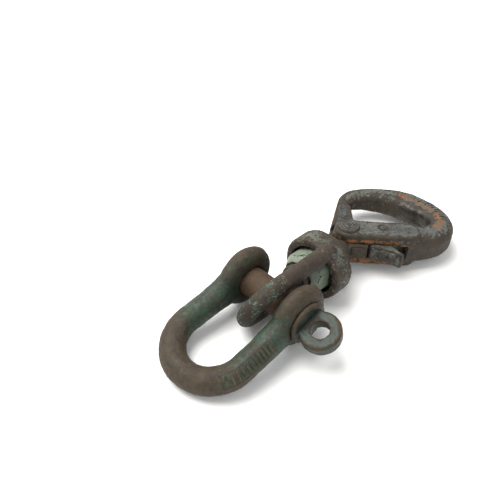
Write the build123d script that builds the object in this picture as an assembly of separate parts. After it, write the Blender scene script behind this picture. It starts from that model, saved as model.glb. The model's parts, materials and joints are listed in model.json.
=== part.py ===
# Screw pin shackle carrying a swivel bail with a self-locking safety hook, laid on a flat surface.
#
# Row frame: +X runs along the load line from the shackle to the hook, +Y to its left, +Z up.
# Sub-assemblies are built in frames of their own and then placed:
#   shackle frame  origin on the pin axis midway between the ears, pin along Y, bow towards -X
#   swivel frame   origin at the centre of the bail's boss, +X along the swivel axis to the hook
#   bail frame     the swivel frame rolled about the swivel axis, arms in its XZ plane
#   cheek frame    in the hook's plane, origin at the pivot, +X down the cheeks, +Y to the throat
from build123d import *
import math
import os

os.makedirs("parts", exist_ok=True)

# ---------------------------------------------------------------- driving dimensions (mm, degrees)
# shackle bow
bow_bar = 21.0              # bar of the bow
bow_crown_radius = 31.7     # centreline of the crown
pin_to_crown = 91.5         # pin axis to the crown's centreline
jaw = 42.2                  # clear gap between the ears
ear_diameter = 52.6
ear_thickness = 17.2
ear_rounding = 12.0         # radial reach of the ears' rounded rim
neck_depth = 40.0           # height of the forged neck where it meets the ear

# screw pin
pin_diameter = 25.0
pin_hole_clearance = 0.4    # radial, pin in the ears
pin_tip_stand_out = 2.0     # pin past the far ear
pin_collar_diameter = 35.5
pin_collar_thickness = 3.5
pin_eye_width = 32.5
pin_eye_thickness = 10.5
pin_eye_hole = 14.5
pin_eye_reach = 11.0        # collar face to the hole's centre
pin_eye_turn = -7.0         # turn of the flat eye about the pin axis
seat_gap = 0.3              # between parts of different bodies that rest on each other

# swivel bail
bail_bar = 13.8
pin_room = 4.9              # play of the pin between the bail's arms
bail_length = 89.5          # boss centre to the outside of the crown
boss_over = 4.0             # boss rim past the arms' centreline
boss_width = 20.0
boss_rounding = 3.0
recess_diameter = 43.0      # counterbore that takes washer and nut
recess_depth = 8.0
bail_roll = 24.5            # lean of the bail about the swivel axis
shackle_yaw = 1.5           # turn of the shackle from the load line, crown towards +Y
pin_side = 4.0              # shackle's middle plane from the swivel axis
pin_station = 53.5          # pin axis behind the boss centre, along the swivel axis

# swivel stem, bush, washer, nut
stem_diameter = 24.0
stem_play = 0.6             # radial play of the worn stem in its bush
bush_wall = 2.5
end_play = 1.7              # axial play at each end of the swivel
washer_thickness = 2.5
washer_diameter = 38.8
washer_bore_gap = 0.3
nut_across_flats = 34.0
nut_height = 20.0
nut_corner_diameter = 37.0  # turned corners
nut_room = 0.6              # nut to the bail's arms
nut_cone_height = 7.0       # turned cone on the nut's outer end
nut_cone_radius = 13.5
stem_stand_out = 7.0        # stem past the nut
roll_pin_diameter = 5.0
collar_diameter = 38.0
collar_thickness = 5.5

# hook, in the swivel frame
hook_thickness = 30.6       # over both cheeks
slot_width = 14.0
bowl_corner = 0.74           # rounding of the bowl's section, of its smaller half
pivot_x = 43.6
pivot_y = 5.9
cheek_angle = -45.0         # cheeks' direction from the pivot
cheek_back = 12.8           # back edge from the pivot
cheek_front = 10.6           # throat edge from the pivot
cheek_rounding = 2.0
slot_length = 52.0          # slot's end from the pivot, down the cheeks
slot_fit = 0.4              # side clearance of what works in the slot

# pivot rivet, trigger, trigger pin
rivet_diameter = 14.0
rivet_head_diameter = 20.0
rivet_head_height = 2.6
rivet_fit = 0.05
trigger_pin_diameter = 6.0
trigger_pin_along = 30.5    # trigger pin from the pivot, down the cheeks
trigger_pin_across = 1.0
trigger_hub_radius = 6.0
trigger_travel = 24.0       # degrees
hook_travel = 32.0          # degrees
spring_wire = 1.2
spring_turns = 3

# tongue of the swivel body and its latch arm
hub_radius = 11.8
heel_reach = 16.0           # heel past the pivot, square to the cheeks
heel_length = 17.5          # heel's locking face from the pivot, down the cheeks
lock_gap = 1.8              # heel to trigger when locked
arm_thickness = 19.0
tip_gap = 1.1               # latch arm to the hook's tip

# rest pose
axis_tilt = 1.5             # bail down towards the hook
swivel_droop = 3.5          # further drop of the hook, taken up by the play in the bush

# ---------------------------------------------------------------- derived sizes
bow_r = bow_bar / 2
ear_centre = jaw / 2 + ear_thickness / 2
crown_centre_x = -(pin_to_crown - bow_crown_radius)
pin_r = pin_diameter / 2
bail_r = bail_bar / 2
bail_half_spacing = (pin_diameter + bail_bar + pin_room) / 2 / math.cos(math.radians(bail_roll))
boss_r = bail_half_spacing + boss_over
boss_half = boss_width / 2
stem_r = stem_diameter / 2
half_hook = hook_thickness / 2
half_slot = slot_width / 2
recess_floor = -boss_half + recess_depth
washer_face = recess_floor - end_play - washer_thickness
nut_end = washer_face - nut_height
stem_end = nut_end - stem_stand_out
nut_r = nut_corner_diameter / 2
bush_middle = (recess_floor + boss_half) / 2
work_half = half_slot - slot_fit
cheek_width = cheek_back + cheek_front
cheek_axis = (cheek_front - cheek_back) / 2

# ---------------------------------------------------------------- frames
boss_height = boss_r * math.cos(math.radians(axis_tilt)) + (boss_half - boss_rounding) * math.sin(
    math.radians(axis_tilt)
)
swivel_frame = Pos(0, 0, boss_height) * Rot(0, axis_tilt, 0)
bail_frame = swivel_frame * Rot(bail_roll, 0, 0)
# the pin sits on the bail's lower arm
pin_above_axis = -bail_half_spacing * math.cos(math.radians(bail_roll)) + bail_r + pin_r + seat_gap
pin_point = (swivel_frame * Pos(-pin_station, pin_side, pin_above_axis)).position
crown_drop = math.degrees(math.asin((pin_point.Z - bow_r) / pin_to_crown))
shackle_frame = Pos(*pin_point) * Rot(0, 0, -shackle_yaw) * Rot(0, -crown_drop, 0)
cheek_frame = Pos(pivot_x, pivot_y, 0) * Rot(0, 0, cheek_angle)
hook_frame = swivel_frame * Pos(bush_middle, 0, 0) * Rot(0, swivel_droop, 0) * Pos(-bush_middle, 0, 0)
trigger_frame = cheek_frame * Pos(trigger_pin_along, trigger_pin_across, 0)


def rod(start, end, radius):
    """Straight round bar between two points."""
    axis = Vector(*end) - Vector(*start)
    plane = Plane(origin=start, z_dir=axis)
    return extrude(plane * Circle(radius), axis.length)


def disc(plane_origin, axis, radius, height):
    plane = Plane(origin=plane_origin, z_dir=axis)
    return extrude(plane * Circle(radius), height)


# ---------------------------------------------------------------- shackle
def leg_tangent():
    """Where a straight leg, starting in the ear's middle, runs into the crown's circle."""
    reach = math.hypot(crown_centre_x, ear_centre)
    angle = math.atan2(ear_centre, -crown_centre_x) + math.acos(bow_crown_radius / reach)
    return (
        crown_centre_x + bow_crown_radius * math.cos(angle),
        bow_crown_radius * math.sin(angle),
    )


def shackle_leg(side):
    end_x, end_y = leg_tangent()
    leg = rod((0, side * ear_centre, 0), (end_x, side * end_y, 0), bow_r)
    flat_r = ear_diameter / 2 - ear_rounding
    profile = Pos(flat_r / 2, 0) * Rectangle(flat_r, ear_thickness)
    profile += Pos(flat_r, 0) * Ellipse(ear_rounding, ear_thickness / 2)
    ear = Pos(0, side * ear_centre, 0) * revolve(profile, Axis.Y)
    slope = (end_y - ear_centre) / -end_x
    sections = []
    for reach, half_depth, half_width in (
        (pin_to_crown * 0.46, bow_r, bow_r),
        (ear_diameter * 0.53, bow_r * 1.22, bow_r * 0.99),
        (ear_diameter * 0.28, neck_depth / 2, ear_thickness / 2),
    ):
        middle = (-reach, side * (ear_centre + slope * reach), 0)
        plane = Plane(origin=middle, x_dir=(0, 1, 0), z_dir=(1, 0, 0))
        sections.append(plane * Ellipse(half_width, half_depth))
    return leg + ear + loft(sections)


def make_shackle_bow():
    end_x, end_y = leg_tangent()
    half_turn = math.degrees(math.atan2(end_y, end_x - crown_centre_x))
    section = Plane(origin=(crown_centre_x + bow_crown_radius, 0, 0), z_dir=(0, 1, 0)) * Circle(bow_r)
    crown_axis = Axis((crown_centre_x, 0, 0), (0, 0, 1))
    crown = revolve(section, crown_axis, 360 - 2 * half_turn)
    crown = Pos(crown_centre_x, 0, 0) * Rot(0, 0, half_turn) * Pos(-crown_centre_x, 0, 0) * crown
    bow = crown + shackle_leg(1) + shackle_leg(-1)
    bow -= Rot(90, 0, 0) * Cylinder(ear_diameter / 2 + bow_r, jaw)
    bow -= Rot(90, 0, 0) * Cylinder(pin_r + pin_hole_clearance, jaw + 3 * ear_thickness)
    for side in (1, -1):
        face = (0, side * (jaw / 2 + ear_thickness), 0)
        bow -= disc(face, (0, side, 0), pin_collar_diameter / 2 + 1.5, bow_r)
    return bow


def make_shackle_pin():
    ear_outside = jaw / 2 + ear_thickness
    collar_y = -(ear_outside + seat_gap)
    tip_y = ear_outside + pin_tip_stand_out
    shank = disc((0, tip_y, 0), (0, -1, 0), pin_r, tip_y - collar_y)
    shank = chamfer(shank.edges().group_by(Axis.Y)[-1], 1.5)
    collar = disc((0, collar_y, 0), (0, -1, 0), pin_collar_diameter / 2, pin_collar_thickness)
    collar = fillet(collar.edges().group_by(Axis.Y)[0], 2.5)
    eye_y = collar_y - pin_collar_thickness - pin_eye_reach
    plate = Pos(0, eye_y, 0) * Cylinder(pin_eye_width / 2, pin_eye_thickness)
    web_length = pin_eye_reach + pin_collar_thickness / 2
    web = Pos(0, eye_y + web_length / 2, 0) * Box(pin_eye_width * 0.84, web_length, pin_eye_thickness)
    eye = plate + web
    eye = fillet(eye.faces().filter_by(Axis.Z).edges(), 2.0)
    eye -= Pos(0, eye_y, 0) * Cylinder(pin_eye_hole / 2, pin_eye_thickness * 2)
    return shank + collar + Rot(0, pin_eye_turn, 0) * eye


# ---------------------------------------------------------------- bail and swivel stack
def make_swivel_bail():
    crown_x = -(bail_length - bail_r - bail_half_spacing)
    boss = disc((-boss_half, 0, 0), (1, 0, 0), boss_r, boss_width)
    boss = fillet(boss.edges().filter_by(GeomType.CIRCLE), boss_rounding)
    section = Plane(origin=(crown_x, 0, bail_half_spacing), z_dir=(1, 0, 0)) * Circle(bail_r)
    crown = revolve(section, Axis((crown_x, 0, 0), (0, -1, 0)), 180)
    bail = boss + crown
    for side in (1, -1):
        foot = (0, 0, side * (boss_r - bail_r * 0.55))
        bail += rod((crown_x, 0, side * bail_half_spacing), foot, bail_r)
    bail -= disc((recess_floor, 0, 0), (-1, 0, 0), recess_diameter / 2, recess_depth + 1)
    bail -= disc((-boss_width, 0, 0), (1, 0, 0), stem_r + stem_play + bush_wall, 2 * boss_width)
    return bail


def make_swivel_bush():
    inner = stem_r + stem_play
    bush = disc((recess_floor, 0, 0), (1, 0, 0), inner + bush_wall, boss_half - recess_floor)
    return bush - disc((-boss_width, 0, 0), (1, 0, 0), inner, 2 * boss_width)


def make_thrust_washer():
    washer = disc((washer_face, 0, 0), (1, 0, 0), washer_diameter / 2, washer_thickness)
    return washer - disc((-boss_width, 0, 0), (1, 0, 0), stem_r + washer_bore_gap, 2 * boss_width)


def make_swivel_nut():
    plane = Plane(origin=(washer_face, 0, 0), z_dir=(-1, 0, 0))
    nut = extrude(plane * RegularPolygon(nut_across_flats / 2, 6, major_radius=False), nut_height)
    cone = Plane.XZ * make_face(Polyline(
        (washer_face, 0), (washer_face, nut_r), (nut_end + nut_cone_height, nut_r),
        (nut_end, nut_cone_radius), (nut_end, 0), close=True))
    nut &= revolve(cone, Axis.X)
    nut -= disc((0, 0, 0), (-1, 0, 0), stem_r, 2 * nut_height)
    return nut - roll_pin_rod(roll_pin_diameter / 2)


def roll_pin_rod(radius):
    pin_x = nut_end + nut_cone_height / 2 + roll_pin_diameter / 2
    half_length = nut_cone_radius + 2
    return rod((pin_x, 0, -half_length), (pin_x, 0, half_length), radius)


def nut_swing():
    """Room for the turning nut and stem between the bail's arms."""
    return disc((recess_floor, 0, 0), (-1, 0, 0), nut_r + nut_room, recess_floor - nut_end + nut_room)


def make_nut_roll_pin():
    return roll_pin_rod(roll_pin_diameter / 2)


# ---------------------------------------------------------------- swivel body
# corners of the latch arm from the pivot: upper root, upper tip, end, lower edge, lower root
arm_corners = ((-7.6, 12.7), (31.8, 35.5), (38.0, 31.6), (35.0, 22.4), (17.8, 6.1), (6.4, -4.9))


def arm_outline():
    return Pos(pivot_x, pivot_y) * make_face(Polyline(*arm_corners, close=True))


def cheek_outline(grow=0.0, length=slot_length):
    radius = cheek_width / 2 + grow
    band = Pos(length / 2, cheek_axis) * Rectangle(length, 2 * radius)
    band += Pos(0, cheek_axis) * Circle(radius) + Pos(length, cheek_axis) * Circle(radius)
    return cheek_frame * band


def heel_outline():
    return cheek_frame * make_face(Polyline(
        (-6, 0), (-6, -heel_reach + 2), (-3, -heel_reach), (heel_length - 1, -heel_reach),
        (heel_length, -heel_reach + 1), (heel_length, -9), (6, 0), close=True))


def make_swivel_body():
    collar_x = boss_half + end_play
    neck_x = collar_x + collar_thickness
    body = disc((stem_end, 0, 0), (1, 0, 0), stem_r, collar_x - stem_end)
    body = chamfer(body.edges().group_by(Axis.X)[0], 1.5)
    body += disc((collar_x, 0, 0), (1, 0, 0), collar_diameter / 2, collar_thickness)
    neck_end = pivot_x - hub_radius
    neck = Plane.XZ * make_face(Polyline(
        (neck_x - 0.5, 0), (neck_x - 0.5, collar_diameter / 2 - 2), (neck_end, 9), (neck_end, 0), close=True))
    neck = revolve(neck, Axis.X)
    body += neck
    tongue = Pos(pivot_x, pivot_y) * Circle(hub_radius)
    tongue += make_face(Polyline(
        (neck_x, -15), (pivot_x - 6, pivot_y - hub_radius), (pivot_x - 6, pivot_y + hub_radius),
        (neck_x, 15), close=True))
    tongue += heel_outline()
    tongue += arm_outline()
    body += extrude(tongue, work_half, both=True)
    arm = extrude(arm_outline(), arm_thickness / 2, both=True)
    keep_out = extrude(cheek_outline(grow=0.6), half_hook, both=True)
    keep_out += Pos(pivot_x, pivot_y, 0) * Cylinder(cheek_back + 0.6, hook_thickness)
    body += arm - keep_out
    body -= make_bowl(grow=tip_gap)
    slot_side = extrude(Pos(pivot_x, pivot_y) * Circle(cheek_back + 0.6), half_hook, both=True)
    slot_side -= extrude(Pos(pivot_x, pivot_y) * Circle(cheek_back + 5), work_half, both=True)
    body -= slot_side
    body -= Pos(pivot_x, pivot_y, 0) * Cylinder(rivet_diameter / 2 + rivet_fit, hook_thickness)
    return body - roll_pin_rod(roll_pin_diameter / 2)


# ---------------------------------------------------------------- hook body
# bowl from the cheeks round to the tip: centre x, y, heading, half width and half height of each section
bowl_sections = (
    (72.0, -24.1, -45, 11.7, 15.0),
    (82.5, -34.0, -39, 11.8, 14.6),
    (95.0, -41.5, -24, 12.0, 13.8),
    (111.0, -45.2, 3, 12.0, 13.0),
    (128.5, -32.0, 48, 13.0, 12.3),
    (132.0, -9.0, 88, 13.5, 12.0),
    (129.5, 9.0, 106, 12.0, 11.7),
    (120.0, 24.5, 130, 10.0, 10.6),
    (109.0, 36.0, 145, 9.0, 9.4),
    (97.5, 42.3, 165, 8.0, 8.2),
    (88.5, 41.0, 205, 7.0, 7.2),
    (83.5, 36.5, 228, 6.3, 6.5),
)


def make_bowl(grow=0.0):
    sections = []
    for x, y, heading, half_width, half_height in bowl_sections:
        way = Vector(math.cos(math.radians(heading)), math.sin(math.radians(heading)))
        plane = Plane(origin=(x, y, 0), x_dir=(way.Y, -way.X, 0), z_dir=way)
        wide, high = half_width + grow, half_height + grow
        sections.append(plane * RectangleRounded(2 * wide, 2 * high, bowl_corner * min(wide, high)))
    return loft(sections)


def make_hook_body():
    cheeks = extrude(cheek_outline(), half_hook, both=True)
    cheeks = fillet(cheeks.faces().filter_by(Axis.Z).edges(), cheek_rounding)
    hook = make_bowl() + cheeks
    slot_start = -cheek_width
    slot = Pos((slot_start + slot_length) / 2, 0, 0) * Box(
        slot_length - slot_start, 4 * cheek_width, slot_width)
    hook -= cheek_frame * slot
    hook -= Pos(pivot_x, pivot_y, 0) * Cylinder(rivet_diameter / 2, 2 * hook_thickness)
    hook -= trigger_frame * Cylinder(trigger_pin_diameter / 2, 2 * hook_thickness)
    return hook


def make_pivot_rivet():
    half = half_hook + rivet_head_height
    rivet = Cylinder(rivet_diameter / 2, 2 * half)
    for side in (1, -1):
        head = Pos(0, 0, side * (half_hook + rivet_head_height / 2)) * Cylinder(
            rivet_head_diameter / 2, rivet_head_height)
        outer = head.faces().sort_by(Axis.Z)[-1 if side > 0 else 0]
        rivet += fillet(outer.edges(), rivet_head_height * 0.6)
    return Pos(pivot_x, pivot_y, 0) * rivet


# ---------------------------------------------------------------- trigger
def trigger_outline():
    """Lever in the cheek frame: hub on its pin, locking nose towards the heel, thumb piece behind."""
    nose_x = heel_length + lock_gap
    pin_x, pin_y = trigger_pin_along, trigger_pin_across
    lever = cheek_frame * make_face(Polyline(
        (nose_x, -6), (nose_x, -heel_reach), (nose_x + 3, -heel_reach - 0.3), (36, -20.3), (43.9, -26.5),
        (46.2, -24.6), (39.5, -15.5), (pin_x + 6.5, -5), (pin_x + 4, pin_y + 4), (pin_x - 4, pin_y + 4), close=True))
    return lever + trigger_frame * Circle(trigger_hub_radius)


def swept_heel():
    """Room that the heel takes up in the lever's own frame while the hook opens."""
    steps = 18
    pivot = Pos(pivot_x, pivot_y)
    hinge = Pos(*(cheek_frame * Pos(trigger_pin_along, trigger_pin_across)).position)
    room = None
    grown = offset(heel_outline() + pivot * Circle(hub_radius), 0.5)
    for step in range(steps + 1):
        share = step / steps
        seen_from_hook = pivot * Rot(0, 0, hook_travel * share) * pivot.inverse() * grown
        seen_from_lever = hinge * Rot(0, 0, -trigger_travel * share) * hinge.inverse() * seen_from_hook
        room = seen_from_lever if room is None else room + seen_from_lever
    return room


def make_trigger():
    trigger = extrude(trigger_outline() - swept_heel(), work_half, both=True)
    trigger -= trigger_frame * Cylinder(trigger_pin_diameter / 2 + rivet_fit, 2 * slot_width)
    coil_room = Cylinder(trigger_hub_radius + 2.2, spring_wire * (spring_turns + 2))
    return trigger - trigger_frame * (coil_room - Cylinder(trigger_pin_diameter / 2, slot_width))


def make_trigger_pin():
    return trigger_frame * Cylinder(trigger_pin_diameter / 2, hook_thickness)


def make_trigger_spring():
    pitch = spring_wire * 1.15
    radius = trigger_pin_diameter / 2 + spring_wire / 2 + 0.5
    height = pitch * spring_turns
    path = Helix(pitch, height, radius)
    wire = Plane(origin=path @ 0, z_dir=path % 0) * Circle(spring_wire / 2)
    return trigger_frame * Pos(0, 0, -height / 2) * sweep(wire, path)


# ---------------------------------------------------------------- assembly
def build_parts():
    parts = {
        "shackle_bow": shackle_frame * make_shackle_bow(),
        "shackle_pin": shackle_frame * make_shackle_pin(),
        "swivel_bail": bail_frame * make_swivel_bail() - hook_frame * nut_swing(),
        "swivel_bush": swivel_frame * make_swivel_bush(),
        "thrust_washer": hook_frame * make_thrust_washer(),
        "swivel_nut": hook_frame * make_swivel_nut(),
        "nut_roll_pin": hook_frame * make_nut_roll_pin(),
        "swivel_body": hook_frame * make_swivel_body(),
        "hook_body": hook_frame * make_hook_body(),
        "pivot_rivet": hook_frame * make_pivot_rivet(),
        "trigger": hook_frame * make_trigger(),
        "trigger_pin": hook_frame * make_trigger_pin(),
        "trigger_spring": hook_frame * make_trigger_spring(),
    }
    return parts


def centred(parts):
    """Move everything so that the origin is under the middle of the whole assembly."""
    boxes = [part.bounding_box() for part in parts.values()]
    low_x, high_x = min(box.min.X for box in boxes), max(box.max.X for box in boxes)
    low_y, high_y = min(box.min.Y for box in boxes), max(box.max.Y for box in boxes)
    return Pos(-(low_x + high_x) / 2, -(low_y + high_y) / 2, -min(box.min.Z for box in boxes))


parts = build_parts()
shift = centred(parts)
for name, part in parts.items():
    print(name, type(part).__name__, round(part.volume), part.is_valid)
    export_step(shift * part, f"parts/{name}.step")
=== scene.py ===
import bpy
import bmesh
import json
import math
import numpy as np
from mathutils import Vector, Matrix, noise
from mathutils.bvhtree import BVHTree


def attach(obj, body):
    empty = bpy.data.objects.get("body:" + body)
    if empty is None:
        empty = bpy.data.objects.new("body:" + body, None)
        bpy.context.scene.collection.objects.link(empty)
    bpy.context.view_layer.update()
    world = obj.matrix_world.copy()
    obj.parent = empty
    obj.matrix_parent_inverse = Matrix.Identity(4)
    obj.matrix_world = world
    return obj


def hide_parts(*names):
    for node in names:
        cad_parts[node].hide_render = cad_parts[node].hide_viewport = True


# Worn lifting gear: a bow shackle, its swivel bail and a self-locking hook, lying on a pale floor.
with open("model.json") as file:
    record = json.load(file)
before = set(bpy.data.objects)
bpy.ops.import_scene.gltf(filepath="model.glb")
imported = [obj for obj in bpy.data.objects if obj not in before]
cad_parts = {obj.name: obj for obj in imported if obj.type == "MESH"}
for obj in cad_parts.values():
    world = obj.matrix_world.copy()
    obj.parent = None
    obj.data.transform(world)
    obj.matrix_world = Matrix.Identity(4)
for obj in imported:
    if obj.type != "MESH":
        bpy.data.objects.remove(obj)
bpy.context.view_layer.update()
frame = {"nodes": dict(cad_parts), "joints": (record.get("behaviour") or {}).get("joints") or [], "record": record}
record = frame["record"]
joints = {joint["name"]: joint for joint in frame["joints"]}
mounts = {mount["name"]: mount for mount in record["mounts"]}
mm = 0.001


def tone(red, green, blue):
    # a display colour from 0 to 255, as the linear colour that sockets take
    def linear(value):
        value /= 255
        return value / 12.92 if value <= 0.04045 else ((value + 0.055) / 1.055) ** 2.4
    return (linear(red), linear(green), linear(blue), 1.0)


class Space:
    # a frame of its own for each piece, in millimetres, so that patterns follow the piece
    def __init__(self, origin, along, up):
        self.origin = Vector(origin)
        self.along = Vector(along).normalized()
        up = Vector(up)
        self.up = (up - self.along * up.dot(self.along)).normalized()
        self.side = self.up.cross(self.along)
        self.turn = np.array([self.along, self.side, self.up])

    def local(self, points):
        return (points - np.array(self.origin)) @ self.turn.T / mm

    def localWay(self, ways):
        return ways @ self.turn.T

    def world(self, x, y, z):
        return self.origin + (self.along * x + self.side * y + self.up * z) * mm

    def way(self, x, y, z):
        return (self.along * x + self.side * y + self.up * z).normalized()


def stepUp(low, high, values):
    share = np.clip((values - low) / (high - low), 0, 1)
    return share * share * (3 - 2 * share)


def window(low, high, soft, values):
    return stepUp(low - soft, low + soft, values) * (1 - stepUp(high - soft, high + soft, values))


pinSpot = joints["bail_swing"]["pos_m"]
pinWay = Vector(joints["bail_swing"]["axis"])
crownWay = Vector(mounts["bow_crown"]["axis"])
bowSpace = Space(pinSpot, crownWay, pinWay.cross(crownWay) * -1)
if bowSpace.up.z < 0:
    bowSpace = Space(pinSpot, crownWay, bowSpace.up * -1)
swivelWay = Vector(joints["hook_swivel"]["axis"])
hookUp = Vector(joints["hook_open"]["axis"]) * -1
hookSpace = Space(joints["hook_open"]["pos_m"], swivelWay, hookUp)
cheekWay = hookSpace.way(math.cos(math.radians(-45)), math.sin(math.radians(-45)), 0)
cheekSpace = Space(joints["hook_open"]["pos_m"], cheekWay, hookUp)
stemSpace = Space(joints["hook_swivel"]["pos_m"], swivelWay, hookUp)
eyeSpace = Space(mounts["pin_eye"]["pos_m"], pinWay, mounts["pin_eye"]["axis"])


class Recipe:
    def __init__(self, name):
        self.material = bpy.data.materials.new(name)
        self.material.use_nodes = True
        self.tree = self.material.node_tree
        self.tree.nodes.clear()
        self.coords = self.put("ShaderNodeTexCoord").outputs["Object"]

    def put(self, kind, sockets=None, **settings):
        made = self.tree.nodes.new(kind)
        for key, value in settings.items():
            setattr(made, key, value)
        for key, value in (sockets or {}).items():
            if isinstance(value, bpy.types.NodeSocket):
                self.tree.links.new(value, made.inputs[key])
            else:
                made.inputs[key].default_value = value
        return made

    def cloud(self, size, detail=6.0, rough=0.6, warp=0.0, seed=0.0):
        # noise whose lumps are about size millimetres across
        shift = (seed, seed * 0.7, seed * 1.3)
        where = self.put("ShaderNodeMapping", {"Vector": self.coords, "Location": shift})
        made = self.put("ShaderNodeTexNoise", {
            "Vector": where.outputs[0], "Scale": 1 / (size * mm), "Detail": detail,
            "Roughness": rough, "Distortion": warp})
        return made.outputs["Fac"]

    def sum(self, *terms):
        # terms are (socket, weight) pairs and plain numbers
        total = None
        for term in terms:
            if isinstance(term, tuple):
                term = self.put("ShaderNodeMath", {0: term[0], 1: term[1]}, operation="MULTIPLY").outputs[0]
            if total is None:
                total = term
            else:
                total = self.put("ShaderNodeMath", {0: total, 1: term}, operation="ADD").outputs[0]
        return total

    def times(self, first, second):
        return self.put("ShaderNodeMath", {0: first, 1: second}, operation="MULTIPLY").outputs[0]

    def step(self, value, low, high, bottom=0.0, top=1.0):
        made = self.put("ShaderNodeMapRange", {
            "Value": value, "From Min": low, "From Max": high, "To Min": bottom, "To Max": top},
            interpolation_type="SMOOTHSTEP")
        return made.outputs["Result"]

    def blend(self, share, first, second):
        made = self.put("ShaderNodeMix", {0: share, 6: first, 7: second}, data_type="RGBA")
        return made.outputs[2]

    def mark(self, name):
        return self.put("ShaderNodeAttribute", attribute_name=name).outputs["Fac"]

    def finish(self, colour, roughness, metallic, height, depth, strength):
        bump = self.put("ShaderNodeBump", {"Height": height, "Strength": strength, "Distance": depth * mm})
        shader = self.put("ShaderNodeBsdfPrincipled", {
            "Base Color": colour, "Roughness": roughness, "Metallic": metallic,
            "Normal": bump.outputs[0], "Specular IOR Level": 0.35})
        end = self.put("ShaderNodeOutputMaterial")
        self.tree.links.new(shader.outputs[0], end.inputs["Surface"])
        return self.material


# what every worn surface shares: the painted shade colour of its hollows, the dirt's colours, and how deep the
# relief looks in millimetres
wearAndShade = dict(hollowShadeTone=tone(24, 20, 17), grimeTone=tone(26, 22, 18), speckTone=tone(30, 25, 20),
            grime=0.5, depth=0.3, relief=0.75, rubbedRough=0.36)


def wornCoat(name, look):
    # rusted forged steel, what is left of its coats, bare steel where it rubs, and painted shade darkening its
    # hollows
    r = Recipe(name)
    seed = look["seed"]
    broad = r.cloud(look["patch"], 3, 0.55, 0.4, seed)
    middle = r.cloud(6, 6, 0.62, 0.3, seed + 1)
    small = r.cloud(1.6, 8, 0.68, 0.0, seed + 2)
    grit = r.cloud(0.45, 4, 0.7, 0.0, seed + 3)
    curve = r.mark("curve")
    coat = r.mark("coat")
    primer = r.mark("primer")
    bare = r.mark("bare")
    patches = r.step(r.sum((middle, 0.6), (small, 0.4)), 0.38, 0.62)
    rust = r.blend(patches, look["rustDark"], look["rustLight"])
    rust = r.blend(r.step(r.sum((small, 0.7), (broad, 0.3)), 0.56, 0.68), rust, look["rustBright"])
    paint = r.blend(r.step(r.sum((broad, 0.5), (small, 0.5)), 0.4, 0.6), look["coatDark"], look["coatLight"])
    mottle = look["mottle"]
    chipped = r.sum((broad, 0.5), (middle, 0.75), (small, mottle), (grit, mottle * 0.5), (coat, 0.5),
                    (curve, -look["edgeRub"]), look["cover"] - 0.625 - 0.75 * mottle)
    coated = r.step(chipped, -look["soft"], look["soft"])
    colour = r.blend(coated, rust, paint)
    height = r.sum((coated, 0.35), (small, 0.55), (grit, 0.35))
    if "primerTone" in look:
        under = r.blend(r.step(small, 0.4, 0.62), look["primerTone"], look["primerDeep"])
        shown = r.sum((middle, 1.3), (small, 0.9), (primer, 1.0), -1.56)
        primed = r.step(shown, -0.05, 0.06)
        colour = r.blend(primed, colour, under)
        height = r.sum((height, 1.0), (primed, 0.15))
    if "fleckTone" in look:
        flecks = r.sum((small, 1.0), (middle, 0.5), (r.mark("fleck"), 0.3), (curve, 0.12),
                       look["flecks"] - 1.0)
        flecked = r.step(flecks, -0.015, 0.03)
        colour = r.blend(flecked, colour, look["fleckTone"])
        height = r.sum((height, 1.0), (flecked, 0.25))
    rubbed = r.sum((bare, 1.0), (curve, look["shine"]), (small, 0.6), (middle, 0.3), -0.95)
    polished = r.step(rubbed, -0.05, 0.25)
    steel = r.blend(r.step(middle, 0.35, 0.65), look["steelDark"], look["steelLight"])
    colour = r.blend(polished, colour, steel)
    # painted shade: where the surface curves inward (curve below zero), the colour is darkened towards near black
    hollow = r.step(r.sum((curve, -1.0), (small, 0.5), (middle, 0.3)), 0.45, 1.15, 0.0, 0.8)
    colour = r.blend(hollow, colour, wearAndShade["hollowShadeTone"])
    grime = r.step(r.sum((broad, 0.6), (middle, 0.6), (small, 0.3)), 0.56, 0.86, 0.0, wearAndShade["grime"])
    colour = r.blend(grime, colour, r.blend(0.72, colour, wearAndShade["grimeTone"]))
    speck = r.step(r.sum((grit, 0.6), (small, 0.4)), 0.32, 0.44, 0.45, 0.0)
    colour = r.blend(speck, colour, wearAndShade["speckTone"])
    dull = r.step(r.sum((coated, -0.4), (small, 1.0)), 0.0, 0.7, 0.44, 0.78)
    roughness = r.put("ShaderNodeMix", {0: polished, 2: dull, 3: wearAndShade["rubbedRough"]}).outputs[0]
    metallic = r.times(polished, 0.55)
    return r.finish(colour, roughness, metallic, height, wearAndShade["depth"], wearAndShade["relief"])


def link(thing):
    bpy.context.scene.collection.objects.link(thing)
    return thing


def plainMesh(thing):
    graph = bpy.context.evaluated_depsgraph_get()
    return bpy.data.meshes.new_from_object(thing.evaluated_get(graph))


def spread(values, edges, count):
    # each vertex takes the mean of its neighbours
    total = np.zeros_like(values)
    np.add.at(total, edges[:, 0], values[edges[:, 1]])
    np.add.at(total, edges[:, 1], values[edges[:, 0]])
    return total / (count[:, None] if values.ndim > 1 else count)


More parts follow.
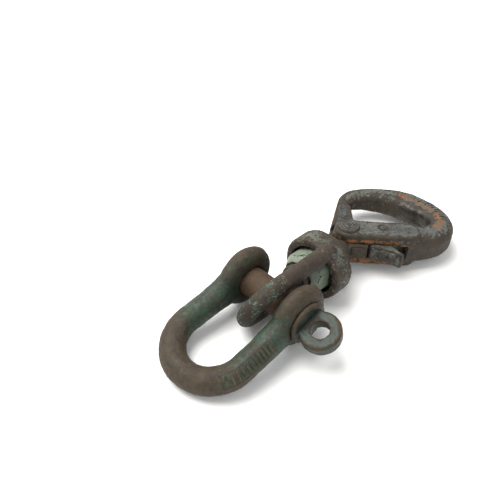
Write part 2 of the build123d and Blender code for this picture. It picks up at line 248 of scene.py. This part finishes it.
class Forging:
    # an even skin over a CAD node's solid, whose points can be worked like hot steel
    def __init__(self, node, voxel):
        mesh = frame["nodes"][node].data.copy()
        work = bmesh.new()
        work.from_mesh(mesh)
        bmesh.ops.remove_doubles(work, verts=work.verts, dist=1e-6)
        work.to_mesh(mesh)
        work.free()
        blank = link(bpy.data.objects.new(node + "Blank", mesh))
        skin = blank.modifiers.new("skin", "REMESH")
        skin.mode = "VOXEL"
        skin.voxel_size = voxel * mm
        self.mesh = plainMesh(blank)
        bpy.data.objects.remove(blank)
        self.node = node
        self.points = np.empty(len(self.mesh.vertices) * 3, np.float32)
        self.mesh.vertices.foreach_get("co", self.points)
        self.points = self.points.reshape(-1, 3).astype(float)
        edges = np.empty(len(self.mesh.edges) * 2, np.int32)
        self.mesh.edges.foreach_get("vertices", edges)
        self.edges = edges.reshape(-1, 2)
        self.count = np.maximum(np.bincount(self.edges.ravel(), minlength=len(self.points)), 1).astype(float)

    def ease(self, times):
        for _ in range(times):
            for share in (0.5, -0.52):
                self.points += share * (spread(self.points, self.edges, self.count) - self.points)

    def normals(self):
        self.mesh.vertices.foreach_set("co", self.points.astype(np.float32).ravel())
        self.mesh.update()
        found = np.empty(len(self.points) * 3, np.float32)
        self.mesh.vertices.foreach_get("normal", found)
        return found.reshape(-1, 3).astype(float)

    def press(self, amount):
        self.points += self.normals() * (np.atleast_1d(amount) * mm)[:, None]

    def dent(self, lumps, pits, seed):
        # shallow waves of the forging and small pits of rust, in millimetres
        shift = Vector((seed, seed * 2, seed * 3))
        wave = np.array([noise.noise(Vector(p) / (9 * mm) + shift) for p in self.points])
        grain = np.array([noise.fractal(Vector(p) / (2.6 * mm) + shift, 0.8, 2.0, 2) for p in self.points])
        self.press(wave * lumps + np.minimum(grain, 0.25) * pits)

    def curve(self, reach=10, depth=0.28):
        # how far each point stands out of its surroundings: plus at edges, minus in hollows
        eased = self.points.copy()
        for _ in range(reach):
            eased = spread(eased, self.edges, self.count) * 0.6 + eased * 0.4
        stands = ((self.points - eased) * self.normals()).sum(1) / (depth * mm)
        return np.clip(spread(stands, self.edges, self.count), -1, 1)

    def mark(self, name, values):
        made = self.mesh.attributes.new(name, "FLOAT", "POINT")
        evenly = np.broadcast_to(np.asarray(values, np.float32), len(self.points))
        made.data.foreach_set("value", np.ascontiguousarray(evenly))

    def finish(self, name, material, body, slot):
        self.normals()
        self.mesh.name = name
        self.mesh.materials.clear()
        self.mesh.materials.append(material)
        self.mesh.shade_smooth()
        thing = link(bpy.data.objects.new(name, self.mesh))
        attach(thing, body)
        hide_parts(self.node)
        return thing

    def tree(self):
        self.normals()
        sides = [tuple(face.vertices) for face in self.mesh.polygons]
        return BVHTree.FromPolygons([Vector(p) for p in self.points], sides)


def markTree():
    tree = bpy.data.node_groups.new("raisedMarks", "GeometryNodeTree")
    tree.interface.new_socket(name="Spots", in_out="INPUT", socket_type="NodeSocketGeometry")
    tree.interface.new_socket(name="Roundness", in_out="INPUT", socket_type="NodeSocketInt").default_value = 2
    tree.interface.new_socket(name="Finish", in_out="INPUT", socket_type="NodeSocketMaterial")
    tree.interface.new_socket(name="Marks", in_out="OUTPUT", socket_type="NodeSocketGeometry")
    nodes, links = tree.nodes, tree.links
    start, end = nodes.new("NodeGroupInput"), nodes.new("NodeGroupOutput")

    def read(name):
        made = nodes.new("GeometryNodeInputNamedAttribute")
        made.data_type = "FLOAT_VECTOR"
        made.inputs["Name"].default_value = name
        return made.outputs[0]

    block = nodes.new("GeometryNodeMeshCube")
    for key in ("Vertices X", "Vertices Y", "Vertices Z"):
        block.inputs[key].default_value = 4
    rounded = nodes.new("GeometryNodeSubdivisionSurface")
    smooth = nodes.new("GeometryNodeSetShadeSmooth")
    stand = nodes.new("FunctionNodeAlignRotationToVector")
    stand.axis = "Z"
    lie = nodes.new("FunctionNodeAlignRotationToVector")
    lie.axis, lie.pivot_axis = "X", "Z"
    place = nodes.new("GeometryNodeInstanceOnPoints")
    real = nodes.new("GeometryNodeRealizeInstances")
    paint = nodes.new("GeometryNodeSetMaterial")
    links.new(block.outputs[0], rounded.inputs["Mesh"])
    links.new(start.outputs["Roundness"], rounded.inputs["Level"])
    links.new(rounded.outputs[0], smooth.inputs["Geometry"])
    links.new(read("outward"), stand.inputs["Vector"])
    links.new(stand.outputs[0], lie.inputs["Rotation"])
    links.new(read("across"), lie.inputs["Vector"])
    links.new(start.outputs["Spots"], place.inputs["Points"])
    links.new(smooth.outputs[0], place.inputs["Instance"])
    links.new(lie.outputs[0], place.inputs["Rotation"])
    links.new(read("size"), place.inputs["Scale"])
    links.new(place.outputs[0], real.inputs[0])
    links.new(real.outputs[0], paint.inputs["Geometry"])
    links.new(start.outputs["Finish"], paint.inputs["Material"])
    links.new(paint.outputs[0], end.inputs["Marks"])
    return tree


raisedMarks = markTree()


def setMarks(name, spots, material, body, roundness=2):
    # spots are (place, outward, across, (length, width, height) in millimetres)
    mesh = bpy.data.meshes.new(name + "Spots")
    mesh.from_pydata([spot[0] for spot in spots], [], [])
    for key, index in (("outward", 1), ("across", 2)):
        made = mesh.attributes.new(key, "FLOAT_VECTOR", "POINT")
        made.data.foreach_set("vector", np.array([tuple(spot[index]) for spot in spots], np.float32).ravel())
    made = mesh.attributes.new("size", "FLOAT_VECTOR", "POINT")
    made.data.foreach_set("vector", (np.array([spot[3] for spot in spots], np.float32) * mm).ravel())
    holder = link(bpy.data.objects.new(name + "Holder", mesh))
    row = holder.modifiers.new("marks", "NODES")
    row.node_group = raisedMarks
    for item in raisedMarks.interface.items_tree:
        if item.in_out == "INPUT" and item.name == "Roundness":
            row[item.identifier] = roundness
        if item.in_out == "INPUT" and item.name == "Finish":
            row[item.identifier] = material
    holder.update_tag()
    made = plainMesh(holder)
    made.name = name
    bpy.data.objects.remove(holder)
    thing = link(bpy.data.objects.new(name, made))
    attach(thing, body)
    return thing


def landOn(tree, start, way):
    # the point of a surface that a straight line from start first meets
    hit = tree.ray_cast(start, way)
    return hit[0], hit[1]


greenLook = dict(
    seed=0.11, patch=24, cover=-0.03, mottle=1.0, edgeRub=0.45, soft=0.20, shine=0.16,
    rustDark=tone(48, 40, 31), rustLight=tone(76, 62, 45), rustBright=tone(98, 72, 44),
    coatDark=tone(24, 42, 34), coatLight=tone(50, 78, 60),
    fleckTone=tone(122, 126, 108), flecks=-0.12,
    steelDark=tone(60, 55, 47), steelLight=tone(98, 92, 80))
barLook = dict(greenLook, seed=0.19, cover=-0.3, rustLight=tone(88, 76, 56))
bowPaint = wornCoat("worn_green_paint", greenLook)
barPaint = wornCoat("worn_bar_tops", barLook)
bowShape = dict(voxel=0.85, ease=3, lumps=0.32, pits=0.3,
                legSpacing=29.7, crownRadius=31.7, crownStart=59.8, bar=10.5,
                padFrom=33, padTo=78, padHalfWidth=6.2, padLift=0.55, padLean=math.radians(47),
                padBars=11, barEnd=4, barSize=(8.6, 1.8, 1.9))


def legPlace(reach):
    # centre and outward way of the near leg at a distance from the pin, running on into the crown
    start, radius = bowShape["crownStart"], bowShape["crownRadius"]
    if reach < start:
        side = bowShape["legSpacing"] + (radius - bowShape["legSpacing"]) * reach / start
        return (reach, side), (0, 1)
    turn = (reach - start) / radius
    return ((start + radius * math.sin(turn), radius * math.cos(turn)), (math.sin(turn), math.cos(turn)))


def nearSide():
    # plus or minus one: the side of the bow that the pin's eye is on
    return 1 if bowSpace.side.dot(Vector(mounts["pin_eye"]["pos_m"]) - bowSpace.origin) > 0 else -1


def makeBow():
    forging = Forging("shackle_bow", bowShape["voxel"])
    forging.ease(bowShape["ease"])
    near = nearSide()
    local = bowSpace.local(forging.points)
    x, y, z = local[:, 0], local[:, 1] * near, local[:, 2]
    start, radius = bowShape["crownStart"], bowShape["crownRadius"]
    turn = np.arctan2(x - start, np.maximum(y, 0.01))
    reach = np.where(x < start, x, start + turn * radius)
    legLine = bowShape["legSpacing"] + (radius - bowShape["legSpacing"]) * x / start
    outAway = np.where(x < start, y - legLine, np.hypot(x - start, y) - radius)
    lean = np.arctan2(z, outAway) - bowShape["padLean"]
    width = np.abs(lean) * bowShape["bar"]
    onLeg = (y > 0).astype(float)
    half, padFrom, padTo = bowShape["padHalfWidth"], bowShape["padFrom"], bowShape["padTo"]
    inside = window(padFrom, padTo, 0.5, reach) * (1 - stepUp(half - 0.5, half + 0.5, width)) * onLeg
    inner = window(padFrom + 1.4, padTo - 1.4, 0.5, reach)
    inner = inner * (1 - stepUp(half - 1.7, half - 0.9, width)) * onLeg
    forging.press((inside - 0.75 * inner) * bowShape["padLift"])
    forging.dent(bowShape["lumps"], bowShape["pits"], 1.7)
    forging.mark("curve", forging.curve())
    legs = window(12, 62, 12, x)
    top = stepUp(-0.2, 0.9, forging.normals() @ np.array(bowSpace.up))
    ears = 1 - stepUp(-18, 10, x)
    forging.mark("coat", 0.42 * legs + 0.3 * inner - 0.25 * stepUp(60, 90, x) - 0.1 * ears * top)
    forging.mark("bare", -0.1)
    forging.mark("fleck", 0.2 * legs)
    tree = forging.tree()
    spots = []
    rise, run = math.sin(bowShape["padLean"]), math.cos(bowShape["padLean"])
    for at in np.linspace(padFrom + bowShape["barEnd"], padTo - bowShape["barEnd"], bowShape["padBars"]):
        (cx, cy), (ox, oy) = legPlace(at)
        outward = bowSpace.way(ox * run, oy * near * run, rise)
        along = bowSpace.way(oy, -ox * near, 0)
        place, _ = landOn(tree, bowSpace.world(cx, cy * near, 0) + outward * 0.05, -outward)
        spots.append((place, outward, outward.cross(along), bowShape["barSize"]))
    setMarks("padBars", spots, barPaint, "bow")
    return forging.finish("forgedBow", bowPaint, "bow", "shackle_paint")


makeBow()
print("bow made")


pinLook = dict(
    seed=0.37, patch=14, cover=-0.36, mottle=1.1, edgeRub=0.5, soft=0.14, shine=0.14,
    rustDark=tone(54, 42, 30), rustLight=tone(84, 61, 37), rustBright=tone(114, 77, 37),
    coatDark=tone(24, 38, 31), coatLight=tone(44, 60, 48),
    steelDark=tone(66, 58, 49), steelLight=tone(106, 95, 82))
pinRust = wornCoat("rusted_pin", pinLook)
pinShape = dict(voxel=0.75, ease=2, lumps=0.2, pits=0.28)


def makePin():
    forging = Forging("shackle_pin", pinShape["voxel"])
    forging.ease(pinShape["ease"])
    forging.dent(pinShape["lumps"], pinShape["pits"], 4.1)
    local = eyeSpace.local(forging.points)
    beyond = local[:, 0]                       # minus along the pin, away from its eye
    onEye = 1 - stepUp(19, 22, np.abs(beyond))
    forging.mark("curve", forging.curve())
    forging.mark("coat", 1.35 * onEye - 0.5 * (1 - onEye))
    forging.mark("bare", -0.1)
    return forging.finish("forgedPin", pinRust, "pin", "pin_steel")


makePin()
print("pin made")


bailLook = dict(
    seed=0.73, patch=18, cover=-0.12, mottle=0.9, edgeRub=0.35, soft=0.06, shine=0.2,
    rustDark=tone(43, 36, 30), rustLight=tone(70, 58, 45), rustBright=tone(88, 66, 45),
    coatDark=tone(66, 70, 61), coatLight=tone(104, 108, 96),
    primerTone=tone(42, 70, 53), primerDeep=tone(30, 52, 40),
    fleckTone=tone(118, 120, 106), flecks=0.0,
    steelDark=tone(54, 49, 43), steelLight=tone(90, 84, 75))
bailCoat = wornCoat("chipped_bail_coat", bailLook)
bailShape = dict(voxel=0.85, ease=3, lumps=0.3, pits=0.32)


def makeBail():
    forging = Forging("swivel_bail", bailShape["voxel"])
    forging.ease(bailShape["ease"])
    forging.dent(bailShape["lumps"], bailShape["pits"], 7.3)
    local = stemSpace.local(forging.points)
    ways = stemSpace.localWay(forging.normals())
    ring = stepUp(-16, -10, local[:, 0])
    away = np.hypot(local[:, 1], local[:, 2])
    face = ring * stepUp(0.55, 0.85, np.abs(ways[:, 0])) * window(19, 26, 1.5, away)
    crown = 1 - stepUp(-70, -52, local[:, 0])
    within = ring * (1 - stepUp(21.5, 22.5, away))
    forging.mark("curve", forging.curve())
    forging.mark("coat", 0.95 * face + 0.15 * crown + 0.25 * ring - 0.35 * (1 - ring) * (1 - crown))
    forging.mark("primer", 0.75 * within + 0.42 * crown - 0.3 * (1 - ring) * (1 - crown) + 0.2 * ring)
    forging.mark("fleck", 0.5 * face + 0.16 * crown + 0.2 * (1 - ring))
    forging.mark("bare", 0.05)
    return forging.finish("forgedBail", bailCoat, "bail", "bail_steel")


makeBail()

nutLook = dict(
    seed=0.91, patch=12, cover=0.26, mottle=0.85, edgeRub=0.55, soft=0.05, shine=0.1,
    rustDark=tone(40, 34, 28), rustLight=tone(72, 60, 45), rustBright=tone(96, 70, 44),
    coatDark=tone(98, 110, 96), coatLight=tone(136, 146, 128),
    primerTone=tone(62, 104, 76), primerDeep=tone(42, 80, 58),
    steelDark=tone(56, 51, 45), steelLight=tone(90, 84, 76))
nutPaint = wornCoat("pale_nut_paint", nutLook)
nutShape = dict(voxel=0.5, ease=1, lumps=0.1, pits=0.12)


def makeNut():
    forging = Forging("swivel_nut", nutShape["voxel"])
    forging.ease(nutShape["ease"])
    forging.dent(nutShape["lumps"], nutShape["pits"], 2.9)
    local = stemSpace.local(forging.points)
    forging.mark("curve", forging.curve(8, 0.2))
    forging.mark("primer", 0.22 * stepUp(-4, 8, local[:, 1]))
    forging.mark("coat", 0.1)
    return forging.finish("swivelNut", nutPaint, "swivel", "nut_steel")


makeNut()
print("bail and nut made")


hookLook = dict(
    seed=1.27, patch=13, cover=0.0, mottle=0.8, edgeRub=0.6, soft=0.06, shine=0.22,
    rustDark=tone(42, 37, 31), rustLight=tone(70, 60, 48), rustBright=tone(92, 70, 48),
    coatDark=tone(64, 70, 69), coatLight=tone(102, 104, 97),
    primerTone=tone(160, 98, 44), primerDeep=tone(112, 82, 46),
    fleckTone=tone(140, 146, 136), flecks=-0.06,
    steelDark=tone(40, 37, 33), steelLight=tone(78, 75, 68))
hookPaint = wornCoat("chipped_hook_paint", hookLook)
hookShape = dict(voxel=0.85, ease=3, lumps=0.32, pits=0.32, bowlMiddle=(62.0, -13.0),
                 ticks=17, tickFrom=-62, tickTo=38, tickInset=10.0)


def makeHook():
    forging = Forging("hook_body", hookShape["voxel"])
    forging.ease(hookShape["ease"])
    forging.dent(hookShape["lumps"], hookShape["pits"], 11.3)
    local = hookSpace.local(forging.points)
    ways = hookSpace.localWay(forging.normals())
    cheek = cheekSpace.local(forging.points)
    middle = np.array(hookShape["bowlMiddle"])
    spoke = local[:, :2] - middle
    far = np.hypot(spoke[:, 0], spoke[:, 1])
    facing = (ways[:, :2] * spoke).sum(1) / np.maximum(far, 0.1)
    onBowl = stepUp(50, 58, cheek[:, 0])
    inner = onBowl * stepUp(0.15, 0.6, -facing)
    outer = onBowl * stepUp(0.35, 0.8, facing)
    upper = stepUp(0.55, 0.85, ways[:, 2])
    top = onBowl * upper
    angle = np.degrees(np.arctan2(spoke[:, 1], spoke[:, 0]))
    rightHalf = window(-95, 70, 10, angle)
    tip = onBowl * stepUp(95, 125, angle)
    # share of the way from the bowl's inner edge to its rim, direction by direction
    sector = np.clip(((angle + 180) / 4).astype(int), 0, 90)
    rim, edge = np.zeros(91), np.full(91, 1e9)
    ringed = onBowl > 0.5
    np.maximum.at(rim, sector[ringed], far[ringed])
    np.minimum.at(edge, sector[ringed], far[ringed])
    outAway = np.clip((far - edge[sector]) / np.maximum(rim[sector] - edge[sector], 1), 0, 1)
    band = window(0.30, 0.60, 0.1, outAway)
    cheekTop = (1 - onBowl) * upper
    cheekWall = (1 - onBowl) * (1 - stepUp(0.2, 0.5, np.abs(ways[:, 2])))
    forging.mark("curve", forging.curve())
    patch = window(8, 24, 5, cheek[:, 0])
    lowWall = cheekWall * (window(5.5, 11.5, 1.2, local[:, 2]) + window(-15.5, -8, 1.2, local[:, 2]))
    forging.mark("primer", (0.14 + 0.36 * band) * top * rightHalf + 0.5 * lowWall + 0.22 * cheekTop * patch
                 - 0.7 * inner - 0.5 * outer - 0.25 * cheekTop * (1 - patch) - 0.35 * tip)
    forging.mark("coat", 0.26 * cheekTop + 0.35 * top - 0.3 * cheekWall
                 - 0.9 * inner - 0.5 * outer + 0.2 * tip)
    forging.mark("bare", 0.75 * inner + 0.05 * outer - 0.3 * top - 0.2 * cheekTop)
    forging.mark("fleck", 0.3 * tip + 0.1 * top)
    tree = forging.tree()
    spots = []
    count = hookShape["ticks"]
    for index in range(count):
        share = index / (count - 1)
        turn = math.radians(hookShape["tickFrom"] + (hookShape["tickTo"] - hookShape["tickFrom"]) * share)
        spokeWay = hookSpace.way(math.cos(turn), math.sin(turn), 0)
        start = hookSpace.world(middle[0], middle[1], 0)
        rimSpot, _ = landOn(tree, start + spokeWay * 0.09, -spokeWay)
        inset = hookShape["tickInset"] + (1.2 if index % 2 else 0)
        place, normal = landOn(tree, rimSpot - spokeWay * inset * mm + hookUp * 0.04, -hookUp)
        if place is None:
            continue
        spots.append((place, normal, spokeWay, (5.0 if index % 3 else 6.5, 1.3, 1.1)))
    setMarks("bowlTicks", spots, hookPaint, "hook")
    return forging.finish("forgedHook", hookPaint, "hook", "hook_paint")


makeHook()

armLook = dict(hookLook, seed=1.61, cover=-0.2, coatDark=tone(52, 56, 55), coatLight=tone(84, 94, 98))
armPaint = wornCoat("latch_arm_paint", armLook)
armShape = dict(voxel=0.75, ease=2, lumps=0.24, pits=0.26, clearance=0.12,
                padAt=8.5, padSize=(9.0, 11.5, 2.0))


def makeSwivelBody():
    forging = Forging("swivel_body", armShape["voxel"])
    forging.ease(armShape["ease"])
    forging.press(-armShape["clearance"])      # keeps the skin off the bush and the slot
    forging.dent(armShape["lumps"], armShape["pits"], 13.9)
    local = hookSpace.local(forging.points)
    cheek = cheekSpace.local(forging.points)
    ways = hookSpace.localWay(forging.normals())
    along = local[:, 0] * 0.78 + local[:, 1] * 0.62
    off = np.abs(-local[:, 0] * 0.62 + local[:, 1] * 0.78 - 4)
    top = stepUp(0.5, 0.85, ways[:, 2])
    streak = top * window(14, 42, 4, along) * (1 - stepUp(3, 6, off))
    heel = (1 - stepUp(-14, -9, cheek[:, 1])) * window(-6, 20, 2, cheek[:, 0])
    forging.mark("curve", forging.curve())
    forging.mark("coat", 0.42 * streak + 0.12 * heel + 0.06 * top)
    forging.mark("primer", 0.35 * top * window(17, 24, 2, along) + 0.2 * heel * top - 0.25)
    forging.mark("fleck", 0.3 * streak)
    forging.mark("bare", 0.08)
    tree = forging.tree()
    place, normal = landOn(tree, cheekSpace.world(armShape["padAt"], -40, 0), cheekSpace.way(0, 1, 0))
    spots = [(place, normal, hookUp, armShape["padSize"])]
    setMarks("heelPad", spots, armPaint, "swivel")
    return forging.finish("forgedSwivelBody", armPaint, "swivel", "hook_paint")


makeSwivelBody()
print("hook and latch arm made")


triggerLook = dict(
    seed=1.93, patch=8, cover=-0.04, mottle=0.8, edgeRub=0.55, soft=0.05, shine=0.2,
    rustDark=tone(36, 32, 28), rustLight=tone(64, 57, 48), rustBright=tone(82, 68, 50),
    coatDark=tone(66, 68, 64), coatLight=tone(98, 98, 89),
    primerTone=tone(150, 112, 54), primerDeep=tone(122, 98, 62),
    steelDark=tone(46, 43, 38), steelLight=tone(84, 80, 72))
triggerSteel = wornCoat("worn_trigger_steel", triggerLook)
triggerShape = dict(voxel=0.5, ease=2, lumps=0.12, pits=0.18,
                    blocksAt=(25.6, 33.6), blockSize=(10.4, 6.0, 3.4))


def makeTrigger():
    forging = Forging("trigger", triggerShape["voxel"])
    forging.ease(triggerShape["ease"])
    forging.dent(triggerShape["lumps"], triggerShape["pits"], 17.1)
    ways = hookSpace.localWay(forging.normals())
    top = stepUp(0.5, 0.85, ways[:, 2])
    forging.mark("curve", forging.curve(8, 0.2))
    forging.mark("primer", 0.42 * top - 0.3)
    forging.mark("coat", 0.3 * top + 0.1)
    forging.mark("bare", 0.05)
    tree = forging.tree()
    back = cheekSpace.way(-0.2, -1, 0)
    spots = []
    for at in triggerShape["blocksAt"]:
        place, normal = landOn(tree, cheekSpace.world(at, -40, 0), -back)
        if place is not None:
            spots.append((place, normal, hookUp, triggerShape["blockSize"]))
    setMarks("triggerBlocks", spots, triggerSteel, "trigger")
    return forging.finish("forgedTrigger", triggerSteel, "trigger", "trigger_steel")


makeTrigger()


rivetLook = dict(
    seed=2.31, patch=6, cover=-0.1, mottle=0.7, edgeRub=0.4, soft=0.06, shine=0.3,
    rustDark=tone(44, 39, 34), rustLight=tone(72, 65, 55), rustBright=tone(90, 72, 52),
    coatDark=tone(66, 72, 70), coatLight=tone(96, 102, 98),
    steelDark=tone(58, 54, 49), steelLight=tone(100, 96, 87))
rivetSteel = wornCoat("turned_rivet_steel", rivetLook)
rivetShape = dict(half=15.3, lift=2.6, radius=10.4, shank=7.0, grooves=(3.2, 6.0, 8.2))
triggerPinShape = dict(half=15.25, lift=0.35, radius=3.0, shank=2.98, grooves=(1.6,))


def headProfile(half, lift, radius, shank, grooves):
    # a domed head with turned rings, from its middle out and down to the shank
    top = half + lift
    line = [(0, top)]
    steps = 44
    for index in range(1, steps + 1):
        r = radius * index / steps
        share = r / radius
        height = top - lift * 0.25 * share ** 2 - lift * 0.75 * max(0, (share - 0.84) / 0.16) ** 2.2
        for groove in grooves:
            height -= 0.6 * math.exp(-((r - groove) / 0.5) ** 2)
        line.append((r, max(height, half)))
    line.append((radius, half - 0.05))
    line.append((shank, half - 0.1))
    return line


def turned(name, shape, space, segments, node, body):
    # the same head at both ends; the profile holds (radius, height) from one pole to the other
    head = headProfile(**shape)
    profile = head + [(radius, -height) for radius, height in reversed(head)]
    points, faces, rings = [], [], []
    for radius, height in profile:
        if radius == 0:
            rings.append([len(points)])
            points.append(space.world(0, 0, height))
            continue
        rings.append(list(range(len(points), len(points) + segments)))
        for index in range(segments):
            turn = 2 * math.pi * index / segments
            points.append(space.world(radius * math.cos(turn), radius * math.sin(turn), height))
    for lower, upper in zip(rings, rings[1:]):
        for index in range(segments):
            after = (index + 1) % segments
            if len(lower) == 1:
                faces.append((lower[0], upper[after], upper[index]))
            elif len(upper) == 1:
                faces.append((lower[index], lower[after], upper[0]))
            else:
                faces.append((lower[index], lower[after], upper[after], upper[index]))
    mesh = bpy.data.meshes.new(name)
    mesh.from_pydata(points, [], faces)
    coats = []
    for ring, (radius, height) in zip(rings, profile):
        near = min([abs(radius - groove) for groove in shape["grooves"]] + [9])
        coats += [0.55 - 0.75 * min(near / 0.8, 1)] * len(ring)
    made = mesh.attributes.new("coat", "FLOAT", "POINT")
    made.data.foreach_set("value", coats)
    work = bmesh.new()
    work.from_mesh(mesh)
    bmesh.ops.recalc_face_normals(work, faces=work.faces)
    work.to_mesh(mesh)
    work.free()
    mesh.materials.append(rivetSteel)
    mesh.shade_smooth()
    thing = link(bpy.data.objects.new(name, mesh))
    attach(thing, body)
    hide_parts(node)
    return thing


def makeRivets():
    turned("turnedRivet", rivetShape, hookSpace, 72, "pivot_rivet", "hook")
    pinSpace = Space(joints["trigger_press"]["pos_m"], swivelWay, hookUp)
    turned("turnedTriggerPin", triggerPinShape, pinSpace, 40, "trigger_pin", "hook")


makeRivets()
print("trigger and rivets made")

darkLook = dict(
    seed=2.77, patch=8, cover=-0.4, mottle=0.6, edgeRub=0.4, soft=0.06, shine=0.2,
    rustDark=tone(32, 27, 23), rustLight=tone(56, 45, 35), rustBright=tone(80, 56, 36),
    coatDark=tone(56, 64, 56), coatLight=tone(80, 88, 76),
    steelDark=tone(42, 38, 34), steelLight=tone(72, 67, 60))
bronzeLook = dict(
    seed=3.1, patch=8, cover=-0.5, mottle=0.6, edgeRub=0.4, soft=0.06, shine=0.4,
    rustDark=tone(66, 52, 31), rustLight=tone(92, 73, 42), rustBright=tone(110, 88, 52),
    coatDark=tone(54, 68, 54), coatLight=tone(70, 88, 70),
    steelDark=tone(104, 80, 44), steelLight=tone(136, 110, 64))
darkSteel = wornCoat("dark_rusted_steel", darkLook)
bushBronze = wornCoat("dull_bush_bronze", bronzeLook)
for nodeName, finish in (("swivel_bush", bushBronze), ("thrust_washer", darkSteel),
                         ("nut_roll_pin", darkSteel), ("trigger_spring", darkSteel)):
    kept = frame["nodes"][nodeName]
    kept.data.materials.clear()
    kept.data.materials.append(finish)
print("hidden pieces painted")

stageLook = dict(floorTone=(0.90, 0.90, 0.89, 1), floorPale=(0.92, 0.92, 0.915, 1), reach=24.0,
                 keyPower=34, keyAt=(-0.25, 0.55, 1.25), fillPower=3, fillAt=(-0.6, -0.9, 1.0), sky=0.7,
                 lens=45, cameraAt=(-0.29548, -0.20910, 0.36974), lookAt=(0.00153, 0.09840, 0.00074))


def makeFloor():
    mesh = bpy.data.meshes.new("floor")
    half = stageLook["reach"] / 2
    corners = [(-half, -half, 0), (half, -half, 0), (half, half, 0), (-half, half, 0)]
    mesh.from_pydata(corners, [], [(0, 1, 2, 3)])
    r = Recipe("pale_floor")
    grain = r.cloud(12, 3, 0.5)
    colour = r.blend(r.step(grain, 0.3, 0.7), stageLook["floorTone"], stageLook["floorPale"])
    shader = r.put("ShaderNodeBsdfPrincipled", {
        "Base Color": colour, "Roughness": 0.9, "Specular IOR Level": 0.1})
    end = r.put("ShaderNodeOutputMaterial")
    r.tree.links.new(shader.outputs[0], end.inputs["Surface"])
    mesh.materials.append(r.material)
    link(bpy.data.objects.new("floor", mesh))


def areaLamp(name, place, size, power, colour):
    lamp = bpy.data.lights.new(name, "AREA")
    lamp.shape, lamp.size, lamp.energy, lamp.color = "DISK", size, power, colour
    thing = link(bpy.data.objects.new(name, lamp))
    thing.location = place
    thing.rotation_euler = (-Vector(place)).to_track_quat("-Z", "Y").to_euler()


def makeLights():
    areaLamp("keyLamp", stageLook["keyAt"], 1.3, stageLook["keyPower"], (1.0, 0.985, 0.96))
    areaLamp("fillLamp", stageLook["fillAt"], 1.2, stageLook["fillPower"], (0.96, 0.98, 1.0))
    world = bpy.data.worlds.new("studioSky")
    world.use_nodes = True
    world.node_tree.nodes["Background"].inputs["Color"].default_value = (1, 1, 1, 1)
    world.node_tree.nodes["Background"].inputs["Strength"].default_value = stageLook["sky"]
    bpy.context.scene.world = world


def makeCamera():
    lens = bpy.data.cameras.new("camera")
    lens.lens, lens.sensor_width = stageLook["lens"], 36
    lens.clip_start, lens.clip_end = 0.02, 20
    thing = link(bpy.data.objects.new("camera", lens))
    place, target = Vector(stageLook["cameraAt"]), Vector(stageLook["lookAt"])
    thing.location = place
    thing.rotation_euler = (target - place).to_track_quat("-Z", "Y").to_euler()
    bpy.context.scene.camera = thing


makeFloor()
makeLights()
makeCamera()
bpy.context.scene.view_settings.view_transform = "Standard"
print("floor, lights and camera made")
